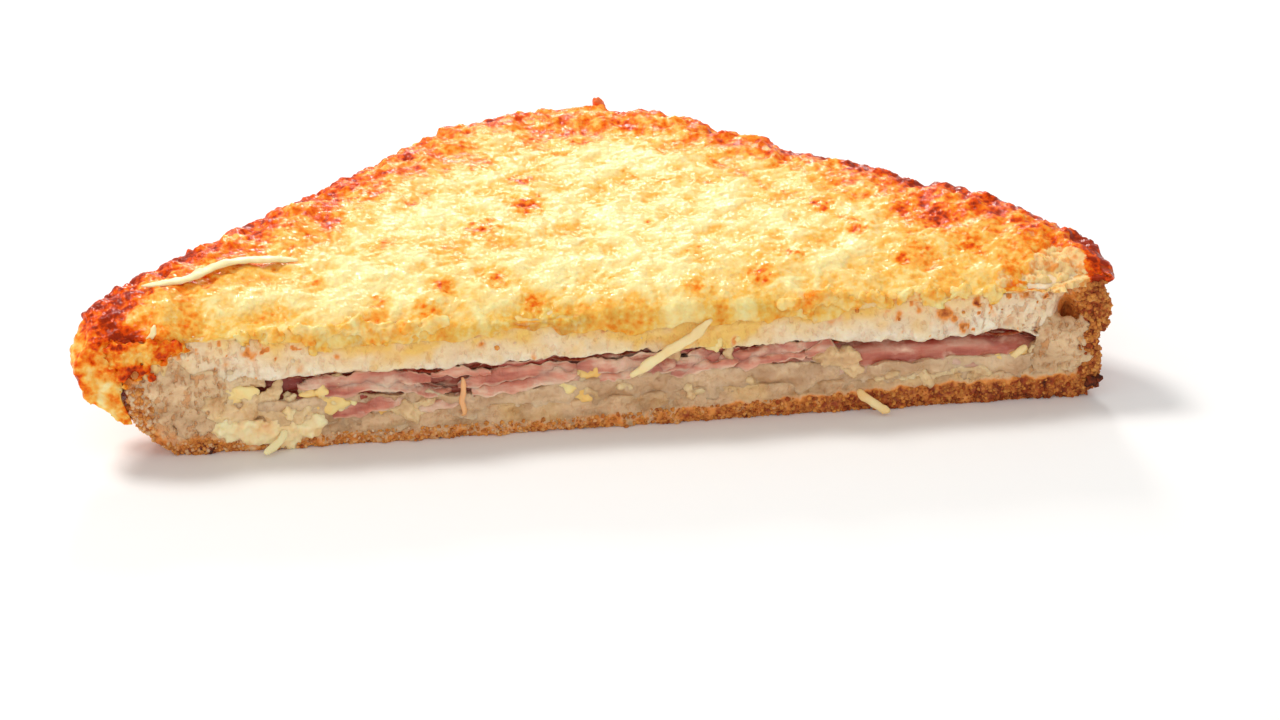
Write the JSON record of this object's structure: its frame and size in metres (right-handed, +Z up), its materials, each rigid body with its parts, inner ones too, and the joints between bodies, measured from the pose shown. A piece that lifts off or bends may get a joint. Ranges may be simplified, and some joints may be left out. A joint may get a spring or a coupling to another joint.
{
  "type": "croque monsieur",
  "caption": "Half of a grilled ham and cheese sandwich, cut corner to corner, with a browned melted cheese top.",
  "frame": {"origin": "middle of the bounding box's underside, on the face that rests on the plate", "axes": "+X along the cut, to the right when the cut is seen from outside; -Y out of the cut; +Z up"},
  "size_m": [0.1592, 0.0768, 0.025],
  "materials": {
    "toasted_bread": "white crumb with a toasted golden brown underside and crust",
    "white_bread": "soft white crumb with fine pores and a thin brown crust",
    "melted_cheese": "melted cheese, pale yellow in the middle and browned along the crust",
    "white_sauce": "set white sauce, smooth and slightly moist",
    "ham": "cooked ham, pink and slightly moist"
  },
  "bodies": {
    "root": {"bottom_slice": "toasted_bread", "top_slice": "white_bread", "melted_cheese": "melted_cheese", "lower_sauce": "white_sauce", "upper_sauce": "white_sauce", "ham_left_lower": "ham", "ham_left_upper": "ham", "ham_middle": "ham", "ham_right": "ham"}
  },
  "joints": []
}
